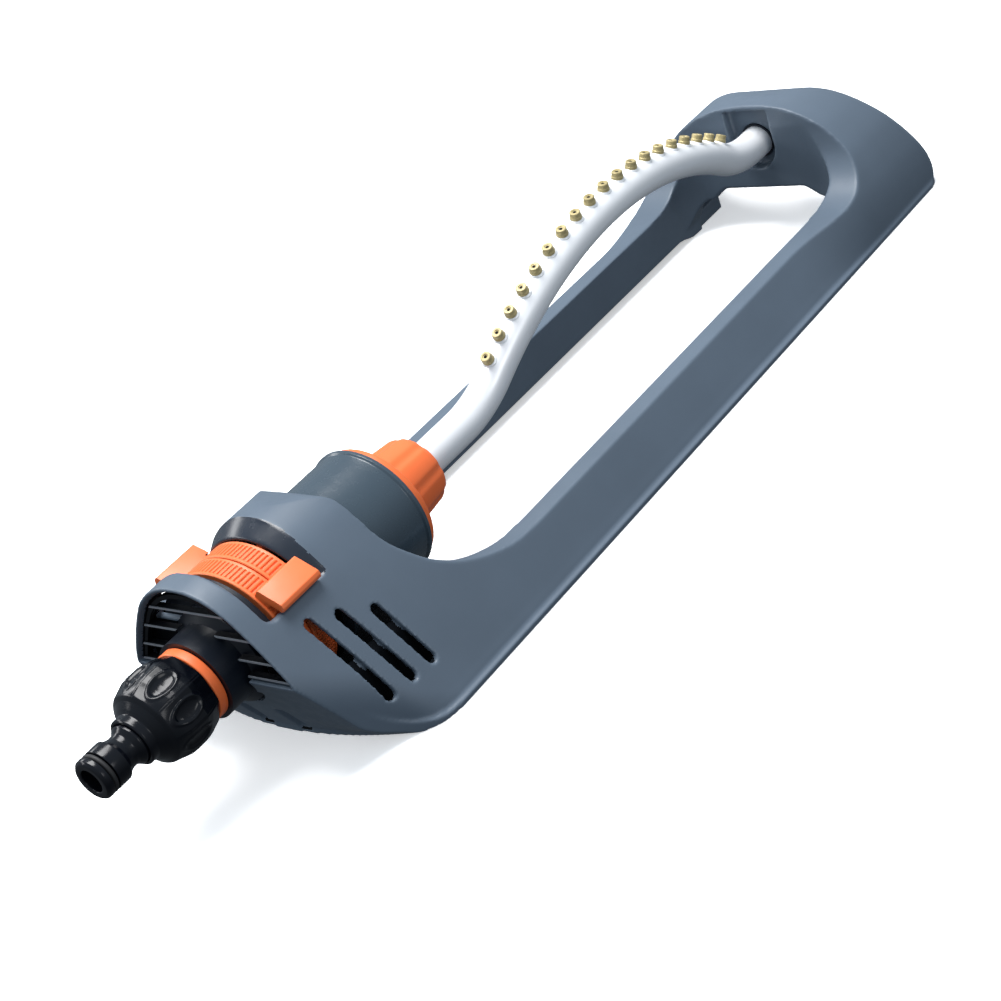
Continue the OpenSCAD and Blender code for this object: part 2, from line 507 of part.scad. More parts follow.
frame();
end_grille();
rear_housing();
inlet_ring();
ring_gear();
inlet_filter();
housing_screws();
far_bush();
hose_tail();
tail_o_ring();
tail_washer();
union_nut();
front_range_ring();
rear_range_ring();
drum_back_plate();
drum_seal();
drum_shell();
back_plate_screws();
rim_gasket();
output_flange();
tube_collar();
collar_o_ring();
spray_tube();
spray_nozzles();
jet_plate();
gear_pins();
bearing_spider();
end_plug();
plug_o_ring();
planet_gear();
middle_gear();
turbine_pinion();
turbine_wheel();
turbine_shaft();
trip_lever();
trip_shaft();
reversing_flap();
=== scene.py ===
# Visual model of the sprinkler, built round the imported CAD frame.
import bpy, bmesh, math
from mathutils import Vector, Matrix


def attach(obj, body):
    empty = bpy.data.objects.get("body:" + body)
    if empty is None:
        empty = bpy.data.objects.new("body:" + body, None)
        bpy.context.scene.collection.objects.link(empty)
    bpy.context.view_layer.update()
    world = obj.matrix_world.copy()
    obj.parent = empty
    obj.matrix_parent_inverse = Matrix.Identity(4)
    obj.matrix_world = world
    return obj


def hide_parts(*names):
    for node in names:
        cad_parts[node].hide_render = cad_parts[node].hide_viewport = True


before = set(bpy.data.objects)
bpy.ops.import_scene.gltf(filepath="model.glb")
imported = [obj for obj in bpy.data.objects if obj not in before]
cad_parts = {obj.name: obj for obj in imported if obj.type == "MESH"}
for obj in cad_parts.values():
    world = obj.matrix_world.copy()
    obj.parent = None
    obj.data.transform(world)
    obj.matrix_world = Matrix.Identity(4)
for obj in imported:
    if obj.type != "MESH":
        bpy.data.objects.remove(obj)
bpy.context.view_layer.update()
scene = bpy.context.scene
PI = math.pi

# ---------------------------------------------------------------- frame of reference
# stations s are millimetres along X from the connector tip, as in the CAD source
HALF_L, AXIS_Z, LEAN = 256.0, 44.4, math.radians(12.4)
CL, SL = math.cos(LEAN), math.sin(LEAN)


def at(s, y, z):
    return Vector(((s - HALF_L) / 1000, y / 1000, z / 1000))


def on_axis(s, y, z):
    return at(s, y, z + AXIS_Z)


def leaning(s, y, z):
    return at(s, y * CL - z * SL, y * SL + z * CL + AXIS_Z)


# ---------------------------------------------------------------- camera
cam = bpy.data.cameras.new("camera")
cam.lens, cam.sensor_width, cam.clip_start, cam.clip_end = 2050.16 / 1001 * 36, 36.0, 0.01, 50.0
camera = bpy.data.objects.new("camera", cam)
scene.collection.objects.link(camera)
psi, phi, rho = 0.827207691, 0.494507516, -0.383968066
F = Vector((math.cos(phi) * math.cos(psi), math.cos(phi) * math.sin(psi), -math.sin(phi)))
R0 = Vector((math.sin(psi), -math.cos(psi), 0))
U0 = R0.cross(F)
R = math.cos(rho) * R0 + math.sin(rho) * U0
U = -math.sin(rho) * R0 + math.cos(rho) * U0
m = Matrix.Identity(4)
for i in range(3):
    m[i][0], m[i][1], m[i][2] = R[i], U[i], -F[i]
m.translation = at(-282.606, -551.219, 407.978)
camera.matrix_world = m
scene.camera = camera

# ---------------------------------------------------------------- materials


def node_mat(name):
    mat = bpy.data.materials.new(name)
    mat.use_nodes = True
    nt = mat.node_tree
    return mat, nt, nt.nodes["Principled BSDF"]


def noise_node(nt, scale, detail=3.0, rough=0.5, stretch=None):
    tc = nt.nodes.new("ShaderNodeTexCoord")
    n = nt.nodes.new("ShaderNodeTexNoise")
    n.inputs["Scale"].default_value = scale
    n.inputs["Detail"].default_value = detail
    n.inputs["Roughness"].default_value = rough
    if stretch:
        mp = nt.nodes.new("ShaderNodeMapping")
        mp.inputs["Scale"].default_value = stretch
        nt.links.new(tc.outputs["Object"], mp.inputs["Vector"])
        nt.links.new(mp.outputs["Vector"], n.inputs["Vector"])
    else:
        nt.links.new(tc.outputs["Object"], n.inputs["Vector"])
    return n


def ramp(nt, src, lo, hi, a=0.35, b=0.65):
    r = nt.nodes.new("ShaderNodeMapRange")
    r.inputs["From Min"].default_value, r.inputs["From Max"].default_value = a, b
    r.inputs["To Min"].default_value, r.inputs["To Max"].default_value = lo, hi
    nt.links.new(src, r.inputs["Value"])
    return r.outputs["Result"]


def surface(name, rgb, rough, metallic=0.0, vary=0.05, rough_vary=0.05, grain=1400.0, bump=0.00003, strength=0.35,
            cloud=22.0, coat=0.0, specular=0.5, edge=0.0, stretch=None, edge_highlight_rgb=None, coat_rough=0.1):
    """Moulded or metal surface: slow colour clouding, finer roughness variation, fine grain bump and edges painted
    lighter by pointiness as a painted highlight.
    """
    mat, nt, b = node_mat(name)
    c = noise_node(nt, cloud, 4.0)
    mix = nt.nodes.new("ShaderNodeMix")
    mix.data_type = "RGBA"
    lo = [max(0.0, v * (1 - vary)) for v in rgb] + [1]
    hi = [min(1.0, v * (1 + vary)) for v in rgb] + [1]
    mix.inputs["A"].default_value, mix.inputs["B"].default_value = lo, hi
    nt.links.new(ramp(nt, c.outputs["Fac"], 0.0, 1.0), mix.inputs["Factor"])
    out = mix.outputs["Result"]
    # painted highlight: rounded edges are lightened by pointiness
    if edge:
        geo = nt.nodes.new("ShaderNodeNewGeometry")
        e = nt.nodes.new("ShaderNodeMix")
        e.data_type = "RGBA"
        nt.links.new(ramp(nt, geo.outputs["Pointiness"], 0.0, edge, 0.52, 0.62), e.inputs["Factor"])
        nt.links.new(out, e.inputs["A"])
        e.inputs["B"].default_value = (edge_highlight_rgb or [min(1.0, v * 1.8 + 0.03) for v in rgb]) + [1]
        out = e.outputs["Result"]
    nt.links.new(out, b.inputs["Base Color"])
    r = noise_node(nt, cloud * 9, 4.0, stretch=stretch)
    nt.links.new(ramp(nt, r.outputs["Fac"], max(0.02, rough - rough_vary), min(1.0, rough + rough_vary), 0.3, 0.7), b.inputs["Roughness"])
    g = noise_node(nt, grain, 2.0, stretch=stretch)
    bp = nt.nodes.new("ShaderNodeBump")
    bp.inputs["Strength"].default_value = strength
    bp.inputs["Distance"].default_value = bump
    nt.links.new(g.outputs["Fac"], bp.inputs["Height"])
    nt.links.new(bp.outputs["Normal"], b.inputs["Normal"])
    b.inputs["Metallic"].default_value = metallic
    b.inputs["Specular IOR Level"].default_value = specular
    b.inputs["Coat Weight"].default_value = coat
    b.inputs["Coat Roughness"].default_value = coat_rough
    return mat


M = {
    "slate": surface("slate_moulded", [0.096, 0.127, 0.166], 0.44, vary=0.05, grain=1900, bump=0.00004, strength=0.5, edge=0.22, specular=0.4),
    # dark gloss slate for the coned lip's front band: painted shade
    "slate_cone_painted_shade": surface("slate_painted_shade_gloss", [0.014, 0.020, 0.032], 0.24, vary=0.08, grain=1900, edge=0.3, specular=0.5),
    "slate_dark": surface("slate_dark_moulded", [0.006, 0.009, 0.016], 0.38, vary=0.10, grain=1900, edge=0.2, specular=0.3),
    # pale slate for the grille blades' front edges: painted highlight
    "louvre_edge_highlight": surface("slate_painted_highlight_edge", [0.26, 0.28, 0.31], 0.40, vary=0.08, grain=1900),
    "inside": surface("slate_unlit_inside", [0.003, 0.004, 0.006], 0.75, vary=0.15, grain=1900, specular=0.1),
    "drum": surface("drum_moulded", [0.042, 0.064, 0.085], 0.26, vary=0.04, rough_vary=0.04, grain=900, bump=0.00002, strength=0.25, coat=0.15, edge=0.25, specular=0.45),
    "black": surface("black_gloss", [0.0018, 0.0026, 0.005], 0.19, vary=0.15, rough_vary=0.06, grain=700, bump=0.00002, strength=0.2, specular=0.30),
    # near-black for the grille's slate blades and rim: painted shade
    "louvre_shade_black": surface("slate_louvre_painted_shade", [0.003, 0.004, 0.006], 0.5, vary=0.15, grain=1900, specular=0.15),
    # lighter orange on the rings' rims and edges is a painted highlight
    "orange": surface("orange_moulded", [0.88, 0.165, 0.040], 0.40, vary=0.03, rough_vary=0.05, grain=1600, bump=0.00003, strength=0.3, edge=0.25, edge_highlight_rgb=[0.98, 0.40, 0.18]),
    "tube": surface("tube_satin", [0.93, 0.935, 0.95], 0.33, metallic=0.22, vary=0.012, rough_vary=0.03, grain=900, bump=0.000006, strength=0.15, stretch=(0.06, 1, 1)),
    "brass": surface("brass_turned", [0.47, 0.385, 0.19], 0.42, metallic=0.25, vary=0.12, rough_vary=0.08, grain=2600, bump=0.00002, strength=0.3, cloud=120, specular=0.4),
    "seal_pale": surface("seal_pale", [0.45, 0.46, 0.47], 0.5, vary=0.04),
    "white": surface("white_plain", [0.72, 0.72, 0.69], 0.45, vary=0.03),
    "steel": surface("steel_bright", [0.55, 0.55, 0.57], 0.28, metallic=1.0, vary=0.06, grain=2600, stretch=(1, 1, 0.2)),
    "rubber": surface("rubber_black", [0.012, 0.012, 0.013], 0.62, vary=0.12, grain=2200, bump=0.00005, strength=0.5),
    # near-black for the nozzle orifices: painted shade
    "bore_shade": surface("nozzle_bore_painted_shade", [0.004, 0.004, 0.004], 0.8, vary=0.2),
}

# ---------------------------------------------------------------- mesh helpers


def mesh_object(name, verts, faces, mat, body, slot, smooth=32.0, stands_for=()):
    me = bpy.data.meshes.new(name)
    me.from_pydata([tuple(v) for v in verts], [], faces)
    me.validate()
    ob = bpy.data.objects.new(name, me)
    scene.collection.objects.link(ob)
    return dress(ob, mat, body, slot, smooth, stands_for)


def dress(ob, mat, body, slot, smooth=32.0, stands_for=()):
    me = ob.data
    bm = bmesh.new()
    bm.from_mesh(me)
    bmesh.ops.recalc_face_normals(bm, faces=bm.faces)
    bm.to_mesh(me)
    bm.free()
    me.shade_smooth()
    me.set_sharp_from_angle(angle=math.radians(smooth))
    me.materials.clear()
    me.materials.append(mat)
    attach(ob, body)
    if stands_for:
        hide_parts(*stands_for)
    return ob


def rounded(pts, r, seg=3, closed=True):
    """Polygon with its corners rounded: r is one radius or one per corner."""
    out, n = [], len(pts)
    for i, p in enumerate(pts):
        rad = r[i] if isinstance(r, (list, tuple)) else r
        if (not closed and i in (0, n - 1)) or rad <= 0:
            out.append(tuple(p))
            continue
        a, b, c = Vector(pts[i - 1]), Vector(p), Vector(pts[(i + 1) % n])
        u, v = (a - b), (c - b)
        lu, lv = u.length, v.length
        if lu < 1e-6 or lv < 1e-6:
            out.append(tuple(p))
            continue
        u, v = u / lu, v / lv
        ang = math.acos(max(-1, min(1, u.dot(v))))
        if ang > math.radians(176) or ang < 0.05:
            out.append(tuple(p))
            continue
        t = min(rad / math.tan(ang / 2), lu * 0.45, lv * 0.45)
        rr = t * math.tan(ang / 2)
        centre = b + (u + v).normalized() * (rr / math.sin(ang / 2))
        p0, p1 = b + u * t, b + v * t
        a0, a1 = math.atan2(*(p0 - centre).yx), math.atan2(*(p1 - centre).yx)
        d = (a1 - a0 + PI) % (2 * PI) - PI
        for k in range(seg + 1):
            w = a0 + d * k / seg
            out.append((centre.x + rr * math.cos(w), centre.y + rr * math.sin(w)))
    return out


def spline(pts, n=6):
    """Centripetal curve through the points, n steps a span; a point with a third value of 1 stays a corner."""
    out = []
    P = [Vector(p[:2]) for p in pts]
    corner = [len(p) > 2 and p[2] for p in pts]
    for i in range(len(P) - 1):
        p1, p2 = P[i], P[i + 1]
        p0 = p1 * 2 - p2 if i == 0 or corner[i] else P[i - 1]
        p3 = p2 * 2 - p1 if i + 2 >= len(P) or corner[i + 1] else P[i + 2]
        t0 = 0.0
        t1 = t0 + max((p1 - p0).length, 1e-6) ** 0.5
        t2 = t1 + max((p2 - p1).length, 1e-6) ** 0.5
        t3 = t2 + max((p3 - p2).length, 1e-6) ** 0.5
        for k in range(n):
            t = t1 + (t2 - t1) * k / n
            a1 = p0 * ((t1 - t) / (t1 - t0)) + p1 * ((t - t0) / (t1 - t0))
            a2 = p1 * ((t2 - t) / (t2 - t1)) + p2 * ((t - t1) / (t2 - t1))
            a3 = p2 * ((t3 - t) / (t3 - t2)) + p3 * ((t - t2) / (t3 - t2))
            b1 = a1 * ((t2 - t) / (t2 - t0)) + a2 * ((t - t0) / (t2 - t0))
            b2 = a2 * ((t3 - t) / (t3 - t1)) + a3 * ((t - t1) / (t3 - t1))
            c = b1 * ((t2 - t) / (t2 - t1)) + b2 * ((t - t1) / (t2 - t1))
            out.append((c.x, c.y))
    out.append(tuple(P[-1]))
    return out


def revolve(profile, n=128, place=on_axis, shape=None):
    """Closed [s, r] outline turned round the axis: verts, faces. shape(s, r, angle) may change r."""
    vs, fs, m_ = [], [], len(profile)
    for j in range(n):
        a = 2 * PI * j / n
        for s, r in profile:
            if shape:
                r = shape(s, r, a)
            vs.append(place(s, r * math.sin(a), r * math.cos(a)))
    for j in range(n):
        k = (j + 1) % n
        for i in range(m_):
            i2 = (i + 1) % m_
            fs.append((j * m_ + i, j * m_ + i2, k * m_ + i2, k * m_ + i))
    return vs, fs


def prism(poly, lo, hi, place, rings=1):
    """Outline extruded from lo to hi: place(u, v, w) puts outline point (u, v) at depth w."""
    n = len(poly)
    vs, fs = [], []
    for k in range(rings + 1):
        w = lo + (hi - lo) * k / rings
        vs += [place(u, v, w) for u, v in poly]
    for k in range(rings):
        for i in range(n):
            j = (i + 1) % n
            fs.append((k * n + i, k * n + j, (k + 1) * n + j, (k + 1) * n + i))
    fs.append(tuple(range(n))[::-1])
    fs.append(tuple(range(rings * n, rings * n + n)))
    return vs, fs


def temp(vs, fs):
    me = bpy.data.meshes.new("t")
    me.from_pydata([tuple(v) for v in vs], [], fs)
    bm = bmesh.new()
    bm.from_mesh(me)
    bmesh.ops.recalc_face_normals(bm, faces=bm.faces)
    bm.to_mesh(me)
    bm.free()
    ob = bpy.data.objects.new("t", me)
    scene.collection.objects.link(ob)
    return ob


def boolean(a, b, op):
    """a op b; b is used up."""
    mod = a.modifiers.new("b", "BOOLEAN")
    mod.object, mod.operation, mod.solver = b, op, "MANIFOLD"
    dg = bpy.context.evaluated_depsgraph_get()
    me = bpy.data.meshes.new_from_object(a.evaluated_get(dg))
    a.modifiers.clear()
    a.data = me
    bpy.data.objects.remove(b)
    return a


def bake_modifiers(ob):
    dg = bpy.context.evaluated_depsgraph_get()
    me = bpy.data.meshes.new_from_object(ob.evaluated_get(dg))
    ob.modifiers.clear()
    ob.data = me
    return ob


def bevel(ob, width, seg=2, angle=35.0):
    md = ob.modifiers.new("bevel", "BEVEL")
    md.width, md.segments, md.limit_method, md.angle_limit = width / 1000, seg, "ANGLE", math.radians(angle)
    md.harden_normals, md.use_clamp_overlap = False, True
    return bake_modifiers(ob)


def across(u, v, w):  # [station, z] outline, depth along Y
    return at(u, w, v)


def along(u, v, w):  # [y, z] outline, depth along X
    return at(w, u, v)


def above(u, v, w):  # [station, y] outline, depth along Z
    return at(u, v, w)


def mirror_y(half):
    return half + [(-y, z) for y, z in reversed(half)]


def mirror_plan(half):
    return half + [(s, -y) for s, y in reversed(half)]


def cyl(s0, s1, r, y=0.0, z=0.0, n=96, place=on_axis):
    poly = [(r * math.cos(2 * PI * i / n), r * math.sin(2 * PI * i / n)) for i in range(n)]
    return prism(poly, s0, s1, lambda u, v, w: place(w, y + u, z + v))


# ---------------------------------------------------------------- the moulded frame
HW, HF, SA, TOP = 66.5, 62.0, 460.0, 80.0


def densify(pts, step):
    out = []
    for a, b in zip(pts, pts[1:]):
        k = max(1, math.ceil(math.hypot(b[0] - a[0], b[1] - a[1]) / step))
        out += [(a[0] + (b[0] - a[0]) * i / k, a[1] + (b[1] - a[1]) * i / k) for i in range(k)]
    return out + [tuple(pts[-1][:2])]


def even(line, n):
    """n + 1 points at equal steps along a line."""
    acc = [0.0]
    for a, b in zip(line, line[1:]):
        acc.append(acc[-1] + math.hypot(b[0] - a[0], b[1] - a[1]))
    out, j = [], 0
    for i in range(n + 1):
        d = acc[-1] * i / n
        while j < len(line) - 2 and acc[j + 1] < d:
            j += 1
        t = min(1.0, max(0.0, (d - acc[j]) / max(acc[j + 1] - acc[j], 1e-9)))
        out.append((line[j][0] + (line[j + 1][0] - line[j][0]) * t, line[j][1] + (line[j + 1][1] - line[j][1]) * t))
    return out


def table(pts, x):
    """Value at x on a line of (x, value) points."""
    if x <= pts[0][0]:
        return pts[0][1]
    for a, b in zip(pts, pts[1:]):
        if x <= b[0]:
            return a[1] + (b[1] - a[1]) * (x - a[0]) / max(b[0] - a[0], 1e-9)
    return pts[-1][1]


def ease(x, a, b):
    t = min(1.0, max(0.0, (x - a) / (b - a)))
    return t * t * (3 - 2 * t)


def soft_min(a, b, k):
    h = min(1.0, max(0.0, 0.5 + 0.5 * (b - a) / k))
    return b * (1 - h) + a * h - k * h * (1 - h)


def loft(rows):
    """Closed solid through rows with the same number of points."""
    n = len(rows[0])
    vs = [p for row in rows for p in row]
    fs = [(k * n + i, k * n + (i + 1) % n, (k + 1) * n + (i + 1) % n, (k + 1) * n + i) for k in range(len(rows) - 1) for i in range(n)]
    return vs, fs + [tuple(range(n))[::-1], tuple(range((len(rows) - 1) * n, len(rows) * n))]


NSK = 150
hood_skin = even(spline([(65.0, -0.8), (64.2, 2.8), (62, 7), (57.5, 15.5), (51, 27.5), (44.5, 39), (38.5, 49), (32, 59), (25.5, 67.5), (21.5, 71.6), (16.5, 75.3),
                         (11, 78.0), (5.5, 79.5), (0, 79.9)], 8), NSK)
arch_skin = even(spline([(65.5, -0.8), (65.3, 3.2), (65.1, 8), (64.2, 15), (62.4, 22), (60.0, 28), (57, 34), (53.3, 40), (48, 46.2), (41, 52.6), (32, 58.2), (22, 62.0), (11, 64.0),
                         (0, 64.5)], 8), NSK)
PLAN = spline([(58, 41.6), (64.3, 44.5), (69, 46.5), (74.7, 48.8), (81.7, 51.9), (86.8, 54.8), (91.6, 58.4), (94.7, 61.2), (99.4, 64.9), (103.7, 67.0), (109, 69.2), (118, 74), (130, 96)], 4)
LIP = [(70, 34.5), (71.1, 31.9), (77.2, 21.9), (81.8, 15.1), (86.9, 9.3), (92.3, 5), (97.9, 3.1), (103, 2.5), (600, 2.5)]


def outer(i, x):
    """Half outline point i of the frame's outside at station x, with the raised lip that follows the lower edge and climbs the front corner."""
    t = ease(x, 392, 452)
    (ya, za), (yb, zb) = hood_skin[i], arch_skin[i]
    y, z = ya + (yb - ya) * t, za + (zb - za) * t
    lim, h = table(PLAN, x), table(LIP, x)
    upper = soft_min(y, lim - 1.9 * ease(x, 74, 104), 5.0)
    lower = min(soft_min(y + 2.1, lim, 5.0), HW)
    on = ease(x, 74, 84) * (1 - ease(z, h - 0.3, h + 0.3))
    return upper + (lower - upper) * on, z


def frame_row(x, k=1.0):
    half = [outer(i, x) for i in range(NSK + 1)]
    return [at(x, y * k, z * k) for y, z in half] + [at(x, -y * k, z * k) for y, z in reversed(half[:-1])]


def bowed(u, v, w):
    """Side outline to depth w: the apron's foot sweeps back towards its corners and the hood's rear edge bows back at the middle."""
    if u < 100 and v < 14:
        u += 0.0033 * w * w * (1 - max(v, 0) / 14) ** 1.5
    if u > 104 and v > 45:
        u += 2.0 * max(0.0, 1 - (w / 38) ** 2) * ease(v, 48, 72)
    return at(u, w, v)


STATIONS = [HF - 2 + 1.5 * i for i in range(46)] + [134 + 6 * i for i in range(9)] + [190 + 20 * i for i in range(10)] + [390 + 2.5 * i for i in range(26)] + [464, 480, 500, 514]
saddle = spline([(104, 81.4), (108.5, 81.1), (112, 79.9), (120, 77.8), (125.2, 75.8), (127.9, 73.4), (128.8, 70), (129.5, 64), (131.8, 54), (136.2, 46.4), (140.9, 40.5),
                 (147.2, 35.2), (154, 31.2), (164, 27.2), (175, 24.4), (188, 23.5), (200, 23.4)], 6)
rise = spline([(SA - 50, 23.4), (SA - 36, 23.5), (SA - 24, 24.4), (SA - 15, 27.2), (SA - 8, 32.5), (SA - 3, 40), (SA - 0.5, 50), (SA, 57, 1), (SA, 62.5)], 6)
apron = densify([(HF + 19, 0), (HF + 19, 3), (HF, 41)], 1.2)
side_line = apron[:-1] + rounded([(HF, 41), (HF, TOP + 1.5), (104, TOP + 1.5)], 2.0, 4, closed=False)[:-1] + saddle + rise + rounded(
    [(SA, 63), (SA, 65.2), (SA + 14, 65)], 1.6, 4, closed=False)[1:] + [(530, 65), (530, 0)]
void_line = densify([(HF + 22.6, -2), (HF + 22.6, 2), (HF + 3.2, 41)], 1.2) + [(HF - 9, 41), (HF - 9, 92), (112, 92), (118, 75.4), (127, 73.4), (133, 72.7), (208, 72.7), (208, 20.9),
    (SA - 60, 20.9)] + spline([(SA - 24, 21.6), (SA - 13.5, 24.6), (SA - 6, 30.4), (SA - 0.5, 38.6), (SA + 2.4, 49, 1), (SA + 2.4, 62, 1)], 4) + [
    (SA + 15, 61.2), (SA + 31, 57.4), (530, 40), (530, -2)]
END = [(-1, 512), (2.3, 512), (2.9, 510.4), (10, 508.6), (20, 505.8), (30, 502.3), (40, 498.4), (48, 495), (54, 492.2), (57.5, 490.2), (60, 487.6), (61.8, 484), (63, 479.5), (64.2, 473), (65.2, 466), (70, 450)]
CORNER = [(-1, 17), (2.3, 16.5), (2.9, 12.5), (5, 10.5), (9, 8.5), (15, 7), (66, 7)]
WIDE = [(z, y) for y, z in arch_skin]


def end_row(z):
    """Plan of the far end at height z: its corners are rounded."""
    w = table(WIDE, z) + (1.2 if z < 2.5 else 0.6)
    e, r = table(END, z), min(table(CORNER, z), w - 0.4)
    arc = [(e - r + r * math.sin(PI / 2 * k / 14), w - r + r * math.cos(PI / 2 * k / 14)) for k in range(15)]
    pts = [(440, w)] + arc
    return [at(s, y, z) for s, y in pts] + [at(s, -y, z) for s, y in reversed(pts)]


def clone(ob):
    c = bpy.data.objects.new("t", ob.data.copy())
    scene.collection.objects.link(c)
    return c


def block(s0, s1, y0, y1, z0, z1):
    return temp(*prism([(y0, z0), (y1, z0), (y1, z1), (y0, z1)], s0, s1, along))


def join(*obs):
    a = obs[0]
    for b in obs[1:]:
        a = boolean(a, b, "UNION")
    return a


body = temp(*loft([frame_row(x) for x in STATIONS]))
body = boolean(body, temp(*prism(side_line, -80, 80, bowed, 60)), "INTERSECT")
levels = [-1, 0, 1.2, 2.3, 2.7, 3.2] + [4 + 1.5 * i for i in range(35)] + [56, 57, 58, 59, 60, 61, 62, 63, 64, 65.2]
body = boolean(body, join(temp(*loft([end_row(z) for z in levels])), block(40, 455, -90, 90, -1, 95)), "INTERSECT")
keep = [clone(body) for _ in range(3)]
void = temp(*loft([frame_row(x, 0.957) for x in [HF - 14] + STATIONS + [530]]))
void = boolean(void, temp(*prism(void_line, -90, 90, bowed, 60)), "INTERSECT")
void = boolean(void, temp(*prism(mirror_plan([(45, 66), (380, 66), (497, 64.3), (502.4, 62.6), (506, 59.4), (508.2, 54.8), (509, 49), (509, 45), (535, 45)]), -7, 96, above)), "INTERSECT")
body = boolean(body, void, "DIFFERENCE")
# the grille opening flares to a thin edge at the front
mouth_k = [(HF - 3, 0.986), (HF + 0.2, 0.982), (HF + 3.2, 0.957)]
flare = temp(*loft([[Vector(((x - HALF_L) / 1000, p.y, p.z)) for p in frame_row(HF + 2, k)] for x, k in mouth_k]))
flare = boolean(flare, block(HF - 4, HF + 4, -60, 60, 41, 90), "INTERSECT")
body = boolean(body, flare, "DIFFERENCE")
body = boolean(body, block(152, SA, -44, 44, -2, 90), "DIFFERENCE")
# plates that close the channels behind the hood
up = [p for p in saddle if p[0] >= 133] + [(212, 23.4)]
band = [(s + 1.5, z + 2) for s, z in up] + [(s - 1.6, z - 2.0) for s, z in reversed(up)]
plates = temp(*prism(band, -70, 70, across))
plates = boolean(plates, join(block(128, 214, 44, 68, 4, 66), block(128, 214, -68, -44, 4, 66)), "INTERSECT")
walls = join(block(134, SA + 2, 44, 46.4, 3.5, 66), block(134, SA + 2, -46.4, -44, 3.5, 66))
plate = join(block(70.2, 73.4, -60, 60, 6, 58), temp(*cyl(66.2, 71, 3.8, 33, -10, 32)), temp(*cyl(66.2, 71, 3.8, -33, -10, 32)))
low = spline([(46.4, 1.0), (43.6, 6.5), (39.5, 13), (35, 16.2), (30, 17.0), (26, 19.6), (22, 22.0), (16, 22.3, 1), (0, 22.3)], 5)[:-1]
cut_low = [(46.4, -2)] + low + [(-y, z) for y, z in reversed(low)] + [(-46.4, -2)]
bear = boolean(block(SA, SA + 2.4, -HW, HW, 0, 66), temp(*prism(cut_low, SA - 2, SA + 5, along)), "DIFFERENCE")
inner = join(plates, walls, plate, bear)
for sgn in (1, -1):
    # corner fillet between a rail's inner wall and the bearing wall
    arc = [(SA - 14 + 14 * math.cos(w), sgn * (30 + 14 * math.sin(w))) for w in [PI / 2 * k / 14 for k in range(15)]]
    fil = temp(*prism(arc + [(SA - 13.9, sgn * 44.6), (SA + 0.6, sgn * 44.6), (SA + 0.6, sgn * 30.1)], 1, 64, above))
    fil = boolean(fil, temp(*prism(cut_low, SA - 20, SA + 5, along)), "DIFFERENCE")
    lo_y, hi_y = min(sgn * 44, sgn * 46.5), max(sgn * 44, sgn * 46.5)
    foot = [(SA - 22, 3.6)] + spline([(SA - 22, 3.5), (SA - 16, 2.9), (SA - 11, 1.3), (SA - 6, 0.2), (SA + 1.2, 0.0, 1)], 5) + [(SA + 1.2, 5), (SA - 22, 5)]
    foot = boolean(temp(*prism(foot, -60, 60, across)), block(SA - 30, SA + 5, lo_y, hi_y, -2, 9), "INTERSECT")
    inner = join(inner, fil, foot, block(SA - 6, SA + 24, min(sgn * 46.4, sgn * 54.4), max(sgn * 46.4, sgn * 54.4), 0, 7))
inner = join(inner, block(SA, SA + 8.4, -14.4, 14.4, 30, 63.5))
inner = boolean(inner, keep[0], "INTERSECT")
body = boolean(body, inner, "UNION")
# coned lip behind the mouth for the range rings
cone_o, cone_i = [(98.7, 31.2), (107.3, 35.93)], [(98.6, 29.4), (107.5, 34.3)]


def frustum(ends, n=160):
    rows = [[on_axis(s, r * math.cos(2 * PI * i / n), r * math.sin(2 * PI * i / n)) for i in range(n)] for s, r in ends]
    return temp(*loft(rows))


lip = boolean(boolean(frustum(cone_o), frustum(cone_i), "DIFFERENCE"), block(90, 120, -60, 60, 59.4, 90), "INTERSECT")
body = boolean(body, boolean(lip, keep[1], "INTERSECT"), "UNION")
mouth = rounded([(HF + 10, 60), (106, 60), (106, 100), (HF + 10, 100)], [3.6, 3.6, 0, 0], 6)
mouth = boolean(temp(*prism(mouth, -60, 60, across)), frustum([(98.7, 31.2), (106.7, 35.6)]), "DIFFERENCE")
body = boolean(body, mouth, "DIFFERENCE")
body = boolean(body, temp(*cyl(77.8, 98.4, 30.9, n=160)), "DIFFERENCE")
body = boolean(body, temp(*cyl(HF - 8, HF + 7, 18.6)), "DIFFERENCE")
body = boolean(body, temp(*cyl(HF + 4.8, HF + 13, 21.2)), "DIFFERENCE")
body = boolean(body, block(HF - 8, HF + 7, -18.6, 18.6, AXIS_Z, AXIS_Z + 6), "DIFFERENCE")


def stadium(s0, z0, s1, z1, w, n=10):
    a = math.atan2(z1 - z0, s1 - s0)
    pts = []
    for (cs, cz), base in (((s0, z0), a + PI / 2), ((s1, z1), a - PI / 2)):
        pts += [(cs + w / 2 * math.cos(base + PI * k / n), cz + w / 2 * math.sin(base + PI * k / n)) for k in range(n + 1)]
    return pts


for sl in ((84.3, 52, 90, 18.5), (96.3, 47.5, 101.6, 18.5), (108.8, 41, 112.6, 18)):
    body = boolean(body, temp(*prism(stadium(*sl, 4.4), -90, 90, across)), "DIFFERENCE")
